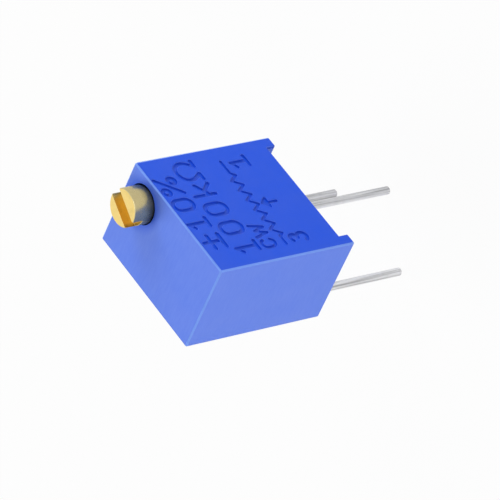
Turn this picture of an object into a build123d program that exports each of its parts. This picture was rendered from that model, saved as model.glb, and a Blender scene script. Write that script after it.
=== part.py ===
from build123d import *
import os
from math import acos, cos, degrees, pi, radians, sin, tan

# A quarter-inch square, sealed, multi-turn trimmer potentiometer for through-hole mounting.
# A slotted brass screw at the top carries a worm. The worm turns a moulded wheel that holds a
# sprung wiper, and the wiper runs over a horseshoe film on a ceramic plate.
# Millimetres. +Z is up, along the screw's axis. The seating plane, under the two feet, is z = 0.
# The origin is at the middle of the seating plane. The marked face looks towards -Y, and the
# potted back towards +Y. Terminal 1 is on the +X side, terminal 3 on the -X side.

# Case
case_width = 6.71
case_depth = 4.44
case_height = 6.82
foot_height = 0.48
foot_width = 0.56
edge_radius = 0.07
side_wall = 0.42
front_wall = 0.44
floor_thickness = 0.50
roof_thickness = 0.50

# Adjusting screw
screw_from_side = 1.27
screw_from_front = 1.24
head_radius = 0.85
head_rise = 1.05
head_chamfer = 0.05
slot_width = 0.60
slot_depth = 0.56
slot_angle = -25.0
seal_groove_depth = 0.35
seal_groove_width = 0.42
seal_groove_radius = 0.50
seal_play = 0.03
collar_width = 0.24
clip_groove_width = 0.30
clip_groove_radius = 0.50
clip_play = 0.025
clip_seat = 0.25
tail_radius = 0.33
tail_length = 1.20
tail_pocket_depth = 0.28
turning_play = 0.05
end_play = 0.04

# Worm and wheel
gear_module = 0.25
wheel_teeth = 16
worm_pitch_radius = 0.585
thread_addendum = 0.20
thread_dedendum = 0.25
flank_angle = 20.0
mesh_play = 0.07
root_overlap = 0.05
wheel_width = 0.80
wheel_drop = 0.05

# Rotor, its post and its stops
post_radius = 0.42
post_length = 0.90
hub_radius = 0.75
axial_play = 0.03
lug_inner_radius = 1.15
lug_outer_radius = 1.65
lug_half_angle = 10.0
travel_half_angle = 135.0
stop_gap_angle = 1.0
chamber_play = 0.12

# Wiper spring, staked on the wheel's back
seat_radius = 0.95
seat_height = 0.13
stud_radius = 0.11
stud_spacing = 1.30
stud_head_radius = 0.18
stud_head_height = 0.05
wiper_thickness = 0.07
wiper_base_radius = 0.92
wiper_window_radius = 0.42
finger_width = 0.15
finger_pitch = 0.22
finger_lift = 0.09
contact_length = 0.16
contact_play = 0.02
wiper_space = 0.62

# Resistance element
plate_thickness = 0.55
plate_play = 0.04
film_thickness = 0.03
track_width = 0.46
track_margin = 0.09
track_half_angle = 142.0
track_end_angle = 8.0
hub_track_radius = 0.45
lead_width = 0.36
pad_radius = 0.38
front_pad_width = 0.56
front_pad_height = 0.72
front_pad_margin = 0.10
front_pad_rounding = 0.10

# Terminals
pin_radius = 0.18
pin_length = 4.90
pin_from_front = 1.09
pin_row_gap = 2.54
rear_pin_from_side = 0.815
pin_play = 0.01
pin_lip = 0.10
grip_width = 0.46
pin_bend_radius = 0.30
pin_end_chamfer = 0.03
front_pin_crank_height = 1.28
front_pin_top = 2.00
rear_pin_height = 1.60
rear_pin_stub = 0.16
well_play = 0.10
solder_radius = 0.36
solder_height = 0.12
solder_taper = 28.0
solder_margin = 0.05

# Potting
potting_recess = 0.10

# Sunk marks on the front face
mark_depth = 0.09
mark_stroke = 0.19
fine_stroke = 0.15
relief_depth = 0.32
relief_play = 0.06

# Levels and places that follow from the sizes above
floor_z = foot_height
top_z = foot_height + case_height
front_y = -case_depth / 2
back_y = case_depth / 2
chamber_front_y = front_y + front_wall
chamber_floor_z = floor_z + floor_thickness
chamber_roof_z = top_z - roof_thickness
screw_x = case_width / 2 - screw_from_side
screw_y = front_y + screw_from_front
bore_radius = head_radius + turning_play
wheel_pitch_radius = gear_module * wheel_teeth / 2
wheel_x = screw_x - worm_pitch_radius - wheel_pitch_radius
wheel_height = (chamber_floor_z + chamber_roof_z) / 2 - wheel_drop
wheel_tip_radius = wheel_pitch_radius + thread_addendum
wheel_root_radius = wheel_pitch_radius - thread_dedendum
chamber_radius = wheel_tip_radius + chamber_play
wheel_front_y = screw_y - wheel_width / 2
wheel_back_y = screw_y + wheel_width / 2
plate_y = wheel_back_y + wiper_space
plate_back_y = plate_y + plate_thickness
film_y = plate_y - film_thickness
track_radius = chamber_radius - track_margin - track_width / 2
potting_back_y = back_y - potting_recess
plate_x_half = case_width / 2 - side_wall - plate_play
plate_low_z = chamber_floor_z + plate_play
plate_high_z = chamber_roof_z - plate_play
front_pin_y = front_y + pin_from_front
rear_pin_x = case_width / 2 - rear_pin_from_side
rear_pin_y = front_pin_y + pin_row_gap
grip_low_z = floor_z + pin_lip
grip_height = floor_thickness - pin_lip
front_pad_z = front_pin_top + front_pad_margin - front_pad_height / 2

# Levels down the screw
head_top_z = top_z + head_rise
seal_groove_top_z = top_z - seal_groove_depth
seal_groove_low_z = seal_groove_top_z - seal_groove_width
clip_groove_top_z = seal_groove_low_z - collar_width
clip_groove_low_z = clip_groove_top_z - clip_groove_width
worm_top_z = clip_groove_low_z - collar_width
tail_low_z = chamber_floor_z - tail_pocket_depth + end_play
worm_low_z = tail_low_z + tail_length

# Slot of the retaining fork, which reaches past the bore on three sides
clip_front_y = screw_y - head_radius - turning_play
clip_left_x = screw_x - bore_radius - clip_seat
clip_right_x = screw_x + bore_radius + turning_play

# Worm thread and wheel teeth
thread_pitch = pi * gear_module
worm_tip_radius = worm_pitch_radius + thread_addendum
worm_root_radius = worm_pitch_radius - thread_dedendum
lead_slope = thread_pitch / (2 * pi * worm_pitch_radius)
thread_half_width = (thread_pitch / 2 - mesh_play) / 2
flank_slope = tan(radians(flank_angle))
base_radius = wheel_pitch_radius * cos(radians(flank_angle))

os.makedirs("parts", exist_ok=True)


def finish(piece, label):
    """Name a finished piece and write its STEP file."""
    piece.part.label = label
    export_step(piece.part, f"parts/{label}.step")
    print(label, len(piece.part.solids()), round(piece.part.volume, 4))


def facing_front(y, x=0.0, z=0.0, turn=0.0):
    """Plane at depth y, seen from the front: its own x runs along +X and its own y along +Z."""
    return Plane(origin=(x, y, z), x_dir=(cos(turn), 0, sin(turn)), z_dir=(0, -1, 0))


def wheel_plane(y, turn=0.0):
    """The same plane, centred on the wheel's axis and turned about it, in radians."""
    return facing_front(y, wheel_x, wheel_height, turn)


def around_wheel(radius, angle):
    """A point on a wheel plane, with the angle counted from straight up towards +X."""
    return (radius * sin(radians(angle)), radius * cos(radians(angle)))


def sector(inner, outer, start, end):
    """A ring sector on a wheel plane, between two angles counted from straight up towards +X."""
    middle = (start + end) / 2
    with BuildLine(mode=Mode.PRIVATE) as outline:
        ThreePointArc(around_wheel(inner, start), around_wheel(inner, middle), around_wheel(inner, end))
        Line(around_wheel(inner, end), around_wheel(outer, end))
        ThreePointArc(around_wheel(outer, end), around_wheel(outer, middle), around_wheel(outer, start))
        Line(around_wheel(outer, start), around_wheel(inner, start))
    make_face(outline.edges())


# Marks: each stroke is a groove of one width with round ends
def stroke(*points, width=mark_stroke):
    """A line of straight strokes through the points."""
    with BuildLine(mode=Mode.PRIVATE) as path:
        Polyline(*points)
    SlotArc(arc=path.wires()[0], height=width)


def bow(centre, radius, start, turn, width=mark_stroke):
    """A round stroke about a centre, from a start angle through a turn, in degrees."""
    with BuildLine(mode=Mode.PRIVATE) as path:
        CenterArc(centre, radius, start, turn)
    SlotArc(arc=path.wires()[0], height=width)


def figure_nought(x, z, w, h):
    """The figure 0, as an upright oval."""
    with Locations((x + w / 2, z + h / 2)):
        SlotOverall(h + mark_stroke, w + mark_stroke, rotation=90)
        SlotOverall(h - mark_stroke, w - mark_stroke, rotation=90, mode=Mode.SUBTRACT)


def figure_one(x, z, w, h):
    """The figure 1, with a foot."""
    stroke((x, z + 0.78 * h), (x + w / 2, z + h), (x + w / 2, z))
    stroke((x, z), (x + w, z))


def letter_k(x, z, w, h):
    """A small letter k."""
    stroke((x, z), (x, z + h))
    stroke((x + w, z + 0.66 * h), (x, z + 0.26 * h))
    stroke((x + 0.36 * w, z + 0.42 * h), (x + w, z))


def ohm_sign(x, z, w, h):
    """The sign for ohms: an open ring on two feet."""
    radius = w / 2
    opening = 62
    centre = (x + radius, z + h - radius)
    bow(centre, radius, opening - 90, 360 - 2 * opening)
    for side in (-1, 1):
        neck_x = centre[0] + side * radius * sin(radians(opening))
        neck_z = centre[1] - radius * cos(radians(opening))
        heel = (centre[0] + side * radius * 0.45, z)
        stroke((neck_x, neck_z), heel, (centre[0] + side * radius * 1.1, z))


def plus_minus(x, z, w, h):
    """The plus-or-minus sign."""
    stroke((x, z), (x + w, z))
    stroke((x, z + 0.58 * h), (x + w, z + 0.58 * h))
    stroke((x + w / 2, z + 0.22 * h), (x + w / 2, z + 0.94 * h))


def percent(x, z, w, h):
    """The percent sign."""
    ring = 0.18 * h
    stroke((x, z), (x + w, z + h))
    for centre in ((x + ring, z + h - ring), (x + w - ring, z + ring)):
        with Locations(centre):
            Circle(ring + mark_stroke / 2)
            Circle(ring - mark_stroke / 2, mode=Mode.SUBTRACT)


def row(glyphs, margin, low_z, height):
    """A row of glyphs, each given with its width, evenly spaced between margins from the sides."""
    span = case_width - 2 * margin
    for n, (glyph, width) in enumerate(glyphs):
        centre = (n + 0.5) * span / len(glyphs) - span / 2
        glyph(centre - width / 2, low_z, width, height)


# Terminal outlines, which the plate, the ledge and the films follow
def end_lead(side, extra):
    """The strip from the horseshoe's end to a rear pin, on a wheel plane, grown by a little."""
    start = around_wheel(track_radius, side * (track_half_angle + track_end_angle / 2))
    end = (side * rear_pin_x - wheel_x, rear_pin_height - wheel_height)
    stroke(start, end, width=lead_width + 2 * extra)
    with Locations(end):
        Circle(pad_radius + extra)


with BuildSketch(facing_front(front_y)) as marks:
    # Tolerance and value
    tolerance = ((plus_minus, 0.76), (figure_one, 0.48), (figure_nought, 0.62), (percent, 0.94))
    row(tolerance, 1.10, top_z - 1.20, 1.00)
    value = (
        (figure_one, 0.50), (figure_nought, 0.66), (figure_nought, 0.66), (letter_k, 0.62), (ohm_sign, 1.00)
    )
    row(value, 0.45, top_z - 2.62, 1.08)
    # Clockwise end
    cw_top_z = top_z - 2.90
    cw_height = 0.68
    cw_radius = 0.22
    cw_x = -2.38
    bow((cw_x, cw_top_z - cw_radius), cw_radius, 20, 160, width=fine_stroke)
    stroke((cw_x - cw_radius, cw_top_z - cw_radius), (cw_x - cw_radius, cw_top_z - cw_height + cw_radius),
           width=fine_stroke)
    bow((cw_x, cw_top_z - cw_height + cw_radius), cw_radius, 180, 160, width=fine_stroke)
    stroke((-1.96, cw_top_z), (-1.78, cw_top_z - cw_height), (-1.61, cw_top_z - 0.2 * cw_height),
           (-1.44, cw_top_z - cw_height), (-1.26, cw_top_z), width=fine_stroke)
    # Symbol of a resistor
    zigzag_z = top_z - 4.05
    zigzag_rise = 0.21
    zigzag_step = 0.30
    zigzag_start_x = -1.98
    zigzag_count = 13
    points = [(-2.60, zigzag_z), (zigzag_start_x - zigzag_step / 2, zigzag_z)]
    for n in range(zigzag_count):
        level = zigzag_z + (zigzag_rise if n % 2 else -zigzag_rise)
        points.append((zigzag_start_x + n * zigzag_step, level))
    zigzag_end_x = zigzag_start_x + (zigzag_count - 0.5) * zigzag_step
    points += [(zigzag_end_x, zigzag_z), (2.50, zigzag_z)]
    stroke(*points, width=fine_stroke)
    # Arrow of the wiper
    arrow_x = -0.20
    arrow_base_z = top_z - 4.74
    arrow_half_width = 0.24
    stroke((arrow_x, top_z - 5.20), (arrow_x, arrow_base_z), width=fine_stroke)
    stroke((arrow_x - arrow_half_width, arrow_base_z), (arrow_x, arrow_base_z + 0.28),
           (arrow_x + arrow_half_width, arrow_base_z), (arrow_x - arrow_half_width, arrow_base_z),
           width=fine_stroke)
    # Terminal numbers
    bow((-2.38, top_z - 4.64), 0.19, -90, 230)
    bow((-2.40, top_z - 5.07), 0.24, -150, 240)
    figure_one(2.04, top_z - 5.33, 0.56, 0.85)

# Housing
with BuildPart() as housing:
    with BuildSketch(Plane.XY.offset(floor_z)):
        Rectangle(case_width, case_depth)
    extrude(amount=case_height)
    # Feet, one at each side over the whole depth
    foot_offset = case_width - foot_width
    with BuildSketch(Plane.XY):
        with GridLocations(foot_offset, 0, 2, 1):
            Rectangle(foot_width, case_depth)
    extrude(amount=foot_height)
    fillet(housing.edges().filter_by(Axis.Z).group_by(Axis.X)[0], edge_radius)
    fillet(housing.edges().filter_by(Axis.Z).group_by(Axis.X)[-1], edge_radius)
    fillet(housing.faces().sort_by(Axis.Z)[-1].outer_wire().edges(), edge_radius)
    # Rear chamber for the ceramic plate and the potting
    with BuildSketch(facing_front(back_y)):
        with Locations((0, (chamber_floor_z + chamber_roof_z) / 2)):
            Rectangle(case_width - 2 * side_wall, chamber_roof_z - chamber_floor_z)
    extrude(amount=back_y - plate_y, mode=Mode.SUBTRACT)
    # Round recess for the wheel, with its post and its stop
    with BuildSketch(wheel_plane(plate_y)):
        Circle(chamber_radius)
    extrude(amount=plate_y - chamber_front_y, mode=Mode.SUBTRACT)
    with BuildSketch(wheel_plane(chamber_front_y)):
        Circle(post_radius)
        stop_half_angle = 180 - travel_half_angle - lug_half_angle - stop_gap_angle
        sector(
            lug_inner_radius - turning_play, chamber_radius, 180 - stop_half_angle, 180 + stop_half_angle
        )
    extrude(amount=-(wheel_front_y - axial_play - chamber_front_y))
    with BuildSketch(wheel_plane(chamber_front_y)):
        Circle(post_radius)
    extrude(amount=-post_length)
    # Bore for the screw, the worm's channel and the tail's pocket
    with BuildSketch(Plane.XY.offset(chamber_floor_z)):
        with Locations((screw_x, screw_y)):
            Circle(bore_radius)
    extrude(amount=top_z - chamber_floor_z, mode=Mode.SUBTRACT)
    with BuildSketch(Plane.XY.offset(chamber_floor_z)):
        with Locations((screw_x, (screw_y + plate_y) / 2)):
            Rectangle(2 * bore_radius, plate_y - screw_y)
    extrude(amount=worm_top_z - chamber_floor_z, mode=Mode.SUBTRACT)
    with BuildSketch(Plane.XY.offset(chamber_floor_z)):
        with Locations((screw_x, screw_y)):
            Circle(tail_radius + turning_play)
    extrude(amount=-tail_pocket_depth, mode=Mode.SUBTRACT)
    # Slot for the retaining fork
    with BuildSketch(Plane.XY.offset(clip_groove_low_z)):
        with Locations(((clip_left_x + clip_right_x) / 2, (clip_front_y + plate_y) / 2)):
            Rectangle(clip_right_x - clip_left_x, plate_y - clip_front_y)
    extrude(amount=clip_groove_width, mode=Mode.SUBTRACT)
    # Well for the cranked front pin
    well_half_width = 0.36
    well_front_y = front_pin_y - pin_radius - well_play
    with BuildSketch(Plane.XY.offset(chamber_floor_z)):
        with Locations((0, (well_front_y + plate_y) / 2)):
            Rectangle(2 * well_half_width, plate_y - well_front_y)
    extrude(amount=front_pin_top + well_play - chamber_floor_z, mode=Mode.SUBTRACT)
    # Relief in the ledge for the end films and their solder
    with BuildSketch(wheel_plane(plate_y)):
        end_lead(-1, relief_play)
        end_lead(1, relief_play)
    extrude(amount=relief_depth, mode=Mode.SUBTRACT)
    # Pin holes through the floor, each with a square pocket for the pin's grip
    pin_places = ((0, front_pin_y), (rear_pin_x, rear_pin_y), (-rear_pin_x, rear_pin_y))
    with BuildSketch(Plane.XY.offset(grip_low_z)):
        with Locations(*pin_places):
            Rectangle(grip_width + 2 * pin_play, grip_width + 2 * pin_play)
    extrude(amount=grip_height, mode=Mode.SUBTRACT)
    with BuildSketch(Plane.XY.offset(grip_low_z)):
        with Locations(*pin_places):
            Circle(pin_radius + pin_play)
    extrude(amount=-pin_lip, mode=Mode.SUBTRACT)
    add(extrude(marks.sketch, amount=-mark_depth, mode=Mode.PRIVATE), mode=Mode.SUBTRACT)
finish(housing, "housing")

# Worm thread, trimmed to the plain cylinder between the clip collar and the tail
with BuildPart() as worm_thread:
    helix_low_z = worm_low_z - thread_pitch
    helix_turns = (worm_top_z - helix_low_z) / thread_pitch
    # The side of the worm that faces the wheel has a gap at the wheel's height
    gap_turns = (wheel_height - helix_low_z) / thread_pitch
    start_angle = 180 - 360 * (gap_turns + 0.5)
    with BuildLine() as thread_path:
        Helix(thread_pitch, worm_top_z - helix_low_z, worm_pitch_radius, center=(0, 0, helix_low_z))
    tip_half = thread_half_width - thread_addendum * flank_slope
    sunk = thread_dedendum + root_overlap
    root_half = thread_half_width + sunk * flank_slope
    with BuildSketch(facing_front(0, worm_pitch_radius, helix_low_z)):
        Polygon(
            (-sunk, -root_half), (thread_addendum, -tip_half),
            (thread_addendum, tip_half), (-sunk, root_half), align=None,
        )
    sweep(path=thread_path.line, is_frenet=True)

# Adjusting screw
with BuildPart() as adjusting_screw:
    with BuildSketch(Plane.XZ):
        with BuildLine():
            Polyline(
                (0, tail_low_z), (tail_radius, tail_low_z), (tail_radius, worm_low_z),
                (worm_root_radius, worm_low_z), (worm_root_radius, worm_top_z),
                (head_radius, worm_top_z), (head_radius, clip_groove_low_z),
                (clip_groove_radius, clip_groove_low_z), (clip_groove_radius, clip_groove_top_z),
                (head_radius, clip_groove_top_z), (head_radius, seal_groove_low_z),
                (seal_groove_radius, seal_groove_low_z), (seal_groove_radius, seal_groove_top_z),
                (head_radius, seal_groove_top_z), (head_radius, head_top_z - head_chamfer),
                (head_radius - head_chamfer, head_top_z), (0, head_top_z), close=True,
            )
        make_face()
    revolve(axis=Axis.Z)
    add(worm_thread.part, rotation=(0, 0, start_angle))
    # The thread ends square at the tail
    with BuildSketch(Plane.XY.offset(worm_low_z - 2 * thread_pitch)):
        Circle(head_radius)
        Circle(tail_radius, mode=Mode.SUBTRACT)
    extrude(amount=2 * thread_pitch, mode=Mode.SUBTRACT)
    with BuildSketch(Plane.XY.offset(head_top_z)):
        Rectangle(2 * bore_radius, slot_width, rotation=slot_angle)
    extrude(amount=-slot_depth, mode=Mode.SUBTRACT)
adjusting_screw.part = adjusting_screw.part.moved(Location((screw_x, screw_y, 0)))
finish(adjusting_screw, "adjusting_screw")

# Seal ring in the upper groove
with BuildPart() as screw_seal_ring:
    ring_section = (bore_radius - seal_play - seal_groove_radius) / 2
    with Locations((screw_x, screw_y, (seal_groove_top_z + seal_groove_low_z) / 2)):
        Torus(seal_groove_radius + ring_section, ring_section)
finish(screw_seal_ring, "screw_seal_ring")

# Retaining fork: its two legs pass the screw's lower groove from behind
with BuildPart() as screw_retainer:
    with BuildSketch(Plane.XY.offset(clip_groove_low_z + clip_play)):
        with Locations(((clip_left_x + clip_right_x) / 2, (clip_front_y + plate_y) / 2)):
            Rectangle(clip_right_x - clip_left_x - 2 * clip_play, plate_y - clip_front_y - 2 * clip_play)
        mouth = clip_groove_radius + clip_play
        with Locations((screw_x, screw_y)):
            Circle(mouth, mode=Mode.SUBTRACT)
        with Locations((screw_x, (clip_front_y + screw_y) / 2)):
            Rectangle(2 * mouth, screw_y - clip_front_y, mode=Mode.SUBTRACT)
    extrude(amount=clip_groove_width - 2 * clip_play)
finish(screw_retainer, "screw_retainer")


def involute(angle):
    """The involute function, in radians."""
    return tan(angle) - angle


def tooth_point(radius, side):
    """A point on a flank of the tooth that points along a wheel plane's own x."""
    half = thread_half_width / wheel_pitch_radius + involute(radians(flank_angle))
    half -= involute(acos(min(base_radius / radius, 1)))
    return (radius * cos(half), side * radius * sin(half))


def tooth():
    """One tooth, from below the root circle to the tip."""
    foot_radius = wheel_root_radius - root_overlap
    half_way = (base_radius + wheel_tip_radius) / 2
    with BuildLine(mode=Mode.PRIVATE) as outline:
        for side in (-1, 1):
            radii = (base_radius, half_way, wheel_tip_radius)
            ThreePointArc(*(tooth_point(radius, side) for radius in radii))
            Line(tooth_point(base_radius, side), tooth_point(foot_radius, side))
        tips = tooth_point(wheel_tip_radius, -1), tooth_point(wheel_tip_radius, 1)
        ThreePointArc(tips[0], (wheel_tip_radius, 0), tips[1])
        Line(tooth_point(foot_radius, -1), tooth_point(foot_radius, 1))
    return make_face(outline.edges(), mode=Mode.PRIVATE)


# Rotor: the worm wheel, with its teeth slanted to the worm's lead
with BuildPart() as rotor_gear:
    half_twist = lead_slope * wheel_width / 2 / wheel_pitch_radius
    for face_y, twist in ((wheel_front_y, half_twist), (wheel_back_y, -half_twist)):
        with BuildSketch(wheel_plane(face_y, twist)):
            Circle(wheel_root_radius)
            with PolarLocations(0, wheel_teeth):
                add(tooth())
    loft(ruled=True)
    # Hub and stop lug at the front
    with BuildSketch(wheel_plane(wheel_front_y)):
        Circle(hub_radius)
        sector(lug_inner_radius, lug_outer_radius, -lug_half_angle, lug_half_angle)
    extrude(amount=wheel_front_y - chamber_front_y - axial_play)
    with BuildSketch(wheel_plane(chamber_front_y)):
        Circle(post_radius + turning_play)
    extrude(amount=-post_length - end_play, mode=Mode.SUBTRACT)
    # Seat and staked studs at the back
    seat_back_y = wheel_back_y + seat_height
    wiper_back_y = seat_back_y + wiper_thickness
    with BuildSketch(wheel_plane(seat_back_y)):
        Circle(seat_radius)
    extrude(amount=seat_height)
    with BuildSketch(wheel_plane(seat_back_y)):
        with GridLocations(stud_spacing, 0, 2, 1):
            Circle(stud_radius)
    extrude(amount=-wiper_thickness)
    with BuildSketch(wheel_plane(wiper_back_y)):
        with GridLocations(stud_spacing, 0, 2, 1):
            Circle(stud_head_radius)
    extrude(amount=-stud_head_height)
finish(rotor_gear, "rotor_gear")

# Wiper spring: a flat ring with fingers to the horseshoe and to the centre track
with BuildPart() as wiper_spring:
    with BuildSketch(wheel_plane(wiper_back_y)):
        Circle(wiper_base_radius)
        Circle(wiper_window_radius, mode=Mode.SUBTRACT)
        with GridLocations(stud_spacing, 0, 2, 1):
            Circle(stud_radius, mode=Mode.SUBTRACT)
    extrude(amount=wiper_thickness)
    base_y = seat_back_y + wiper_thickness / 2
    contact_y = film_y - contact_play - wiper_thickness / 2
    root_offset = (wiper_base_radius + wiper_window_radius) / 2
    fingers = (
        (root_offset, track_radius, (-finger_pitch, 0, finger_pitch)),
        (-root_offset, 0, (-finger_pitch / 2, finger_pitch / 2)),
    )
    for root, touch, offsets in fingers:
        for offset in offsets:
            with BuildSketch(Plane.YZ.offset(wheel_x + offset)):
                stroke(
                    (base_y, wheel_height + root),
                    (contact_y, wheel_height + touch - contact_length),
                    (contact_y, wheel_height + touch),
                    (contact_y - finger_lift, wheel_height + touch + finger_lift),
                    width=wiper_thickness,
                )
            extrude(amount=finger_width / 2, both=True)
finish(wiper_spring, "wiper_spring")

# Ceramic plate
with BuildPart() as element_substrate:
    with BuildSketch(facing_front(plate_back_y)):
        with Locations((0, (plate_low_z + plate_high_z) / 2)):
            Rectangle(2 * plate_x_half, plate_high_z - plate_low_z)
        with Locations((rear_pin_x, rear_pin_height), (-rear_pin_x, rear_pin_height)):
            Circle(pin_radius + pin_play, mode=Mode.SUBTRACT)
    extrude(amount=plate_thickness)
finish(element_substrate, "element_substrate")

# Films on the plate: the horseshoe, its two ends and the centre track
with BuildPart() as resistance_track:
    with BuildSketch(wheel_plane(plate_y)):
        inner_edge = track_radius - track_width / 2
        outer_edge = track_radius + track_width / 2
        sector(inner_edge, outer_edge, -track_half_angle, track_half_angle)
    extrude(amount=film_thickness)
finish(resistance_track, "resistance_track")

with BuildPart() as collector_track:
    pad_place = (-wheel_x, front_pad_z - wheel_height)
    with BuildSketch(wheel_plane(plate_y)):
        Circle(hub_track_radius)
        stroke((0, 0), pad_place, width=lead_width)
        with Locations(pad_place):
            RectangleRounded(front_pad_width, front_pad_height, front_pad_rounding)
    extrude(amount=film_thickness)
finish(collector_track, "collector_track")

for side, number in ((1, 1), (-1, 3)):
    with BuildPart() as end_pad:
        with BuildSketch(wheel_plane(plate_y)):
            end_lead(side, 0)
            angles = sorted((side * track_half_angle, side * (track_half_angle + track_end_angle)))
            sector(inner_edge, outer_edge, *angles)
            with Locations((side * rear_pin_x - wheel_x, rear_pin_height - wheel_height)):
                Circle(pin_radius + pin_play, mode=Mode.SUBTRACT)
        extrude(amount=film_thickness)
        add(resistance_track.part, mode=Mode.SUBTRACT)
    finish(end_pad, f"end_pad_{number}")


def pin_section(x, y):
    """The round section of a pin at its tip."""
    with BuildSketch(Plane.XY.offset(-pin_length)) as section:
        with Locations((x, y)):
            Circle(pin_radius)
    return section.sketch


def grip_section(x, y):
    """The section of the square collar that holds a pin in the floor."""
    with BuildSketch(Plane.XY.offset(grip_low_z)) as section:
        with Locations((x, y)):
            Rectangle(grip_width, grip_width)
    return section.sketch


# Front terminal: cranked under the wheel, up to the centre track's pad
with BuildPart() as terminal_pin_2:
    riser_y = film_y - pin_radius
    with BuildLine() as front_path:
        FilletPolyline(
            (0, front_pin_y, -pin_length), (0, front_pin_y, front_pin_crank_height),
            (0, riser_y, front_pin_crank_height), (0, riser_y, front_pin_top),
            radius=pin_bend_radius,
        )
    sweep(pin_section(0, front_pin_y), path=front_path.wires()[0])
    extrude(grip_section(0, front_pin_y), amount=grip_height)
    chamfer(terminal_pin_2.faces().sort_by(Axis.Z)[0].edges(), pin_end_chamfer)
finish(terminal_pin_2, "terminal_pin_2")

# Rear terminals: bent forwards through the plate
rear_pins = {}
for side, number in ((1, 1), (-1, 3)):
    with BuildPart() as rear_pin:
        with BuildLine() as rear_path:
            FilletPolyline(
                (side * rear_pin_x, rear_pin_y, -pin_length),
                (side * rear_pin_x, rear_pin_y, rear_pin_height),
                (side * rear_pin_x, film_y - rear_pin_stub, rear_pin_height), radius=pin_bend_radius,
            )
        sweep(pin_section(side * rear_pin_x, rear_pin_y), path=rear_path.wires()[0])
        extrude(grip_section(side * rear_pin_x, rear_pin_y), amount=grip_height)
        chamfer(rear_pin.faces().sort_by(Axis.Z)[0].edges(), pin_end_chamfer)
    rear_pins[number] = rear_pin.part
    finish(rear_pin, f"terminal_pin_{number}")

    # Solder ring between the pin's stub and the end film
    with BuildPart() as solder:
        centre = Plane(
            origin=(side * rear_pin_x, film_y, rear_pin_height), x_dir=(1, 0, 0), z_dir=(0, 0, 1)
        )
        with BuildSketch(centre):
            with BuildLine():
                Line((pin_radius, -solder_height), (pin_radius, 0))
                Line((pin_radius, 0), (solder_radius, 0))
                RadiusArc((solder_radius, 0), (pin_radius, -solder_height), -solder_radius)
            make_face()
        revolve(axis=Axis((side * rear_pin_x, film_y, rear_pin_height), (0, 1, 0)))
    finish(solder, f"solder_joint_{number}")

with BuildPart() as front_solder:
    with BuildSketch(facing_front(film_y)):
        with Locations((0, front_pad_z)):
            RectangleRounded(
                front_pad_width - 2 * solder_margin,
                front_pad_height - 2 * solder_margin,
                front_pad_rounding,
            )
    extrude(amount=pin_radius, taper=solder_taper)
    add(terminal_pin_2.part, mode=Mode.SUBTRACT)
finish(front_solder, "solder_joint_2")

# Potting behind the plate
with BuildPart() as epoxy_seal:
    with BuildSketch(facing_front(potting_back_y)):
        with Locations((0, (chamber_floor_z + chamber_roof_z) / 2)):
            Rectangle(case_width - 2 * side_wall, chamber_roof_z - chamber_floor_z)
    extrude(amount=potting_back_y - plate_back_y)
    add(rear_pins[1], mode=Mode.SUBTRACT)
    add(rear_pins[3], mode=Mode.SUBTRACT)
finish(epoxy_seal, "epoxy_seal")
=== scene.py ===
"""Looks, stage and camera for a square, sealed, multi-turn trimmer potentiometer.

Every length is in metres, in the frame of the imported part: +Z runs up the adjusting screw, the
marked face looks towards -Y, and the part stands on its two feet at z = 0.
"""

import math

import bmesh
import bpy
from bpy.props import FloatProperty, FloatVectorProperty, PointerProperty
from bpy.types import Operator, Panel, PropertyGroup
from mathutils import Matrix, Vector


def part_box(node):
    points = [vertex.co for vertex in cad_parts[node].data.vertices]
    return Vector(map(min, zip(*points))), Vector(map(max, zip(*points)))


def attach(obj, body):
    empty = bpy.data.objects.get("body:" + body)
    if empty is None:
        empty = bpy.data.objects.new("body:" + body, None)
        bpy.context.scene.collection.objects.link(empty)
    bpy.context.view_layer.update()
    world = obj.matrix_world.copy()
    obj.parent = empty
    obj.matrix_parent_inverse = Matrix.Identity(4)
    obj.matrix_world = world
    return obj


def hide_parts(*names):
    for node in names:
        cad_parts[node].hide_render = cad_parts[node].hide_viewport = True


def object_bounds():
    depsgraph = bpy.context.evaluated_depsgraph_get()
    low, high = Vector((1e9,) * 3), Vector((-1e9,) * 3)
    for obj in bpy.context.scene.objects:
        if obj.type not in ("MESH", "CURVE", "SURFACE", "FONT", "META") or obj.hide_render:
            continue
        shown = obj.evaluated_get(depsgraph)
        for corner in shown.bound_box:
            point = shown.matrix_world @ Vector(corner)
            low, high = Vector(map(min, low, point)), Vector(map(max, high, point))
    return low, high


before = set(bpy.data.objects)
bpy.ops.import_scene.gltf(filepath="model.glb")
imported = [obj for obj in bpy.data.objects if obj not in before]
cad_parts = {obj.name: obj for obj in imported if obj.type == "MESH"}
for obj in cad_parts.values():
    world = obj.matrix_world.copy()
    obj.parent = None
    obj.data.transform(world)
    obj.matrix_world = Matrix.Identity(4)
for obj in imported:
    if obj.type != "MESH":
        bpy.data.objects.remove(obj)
cad_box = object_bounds()

bl_info = {
    "name": "Trimmer potentiometer dresser",
    "version": (1, 0, 0),
    "blender": (4, 5, 0),
    "location": "3D View > Sidebar > Trimmer",
    "description": "Dresses the packed trimmer potentiometer and sets its stage",
    "category": "Object",
}

MICRON = 0.000001
# Blender's mesh tools have fixed thresholds, which are too coarse for a part this small in metres.
# So a piece is edited in millimetres, and made metres again when it is placed.
BENCH = 1000
# Points that are nearer than this on the bench are at the same place
TOUCH = 0.0005
# Faces that turn by less than this are one flat face
FLAT_TURN = math.radians(0.5)
# Edges of the case that turn by more than this are corners
CORNER_TURN = math.radians(50)
# Edges of the screw that turn by more than this were left by a cut
CUT_TURN = math.radians(30)
# Least length along an axis of the normal of a face that looks along it
SQUARE_ON = 0.99999
# Cuts each way across the potting's back, so that its meniscus is smooth
POTTING_CUTS = 47
# Distance of the floor under the pins' tips
FLOOR_GAP = 20 * MICRON
# Length of a wave texture's wave at a scale of 1
WAVE_LENGTH = 0.314
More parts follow.
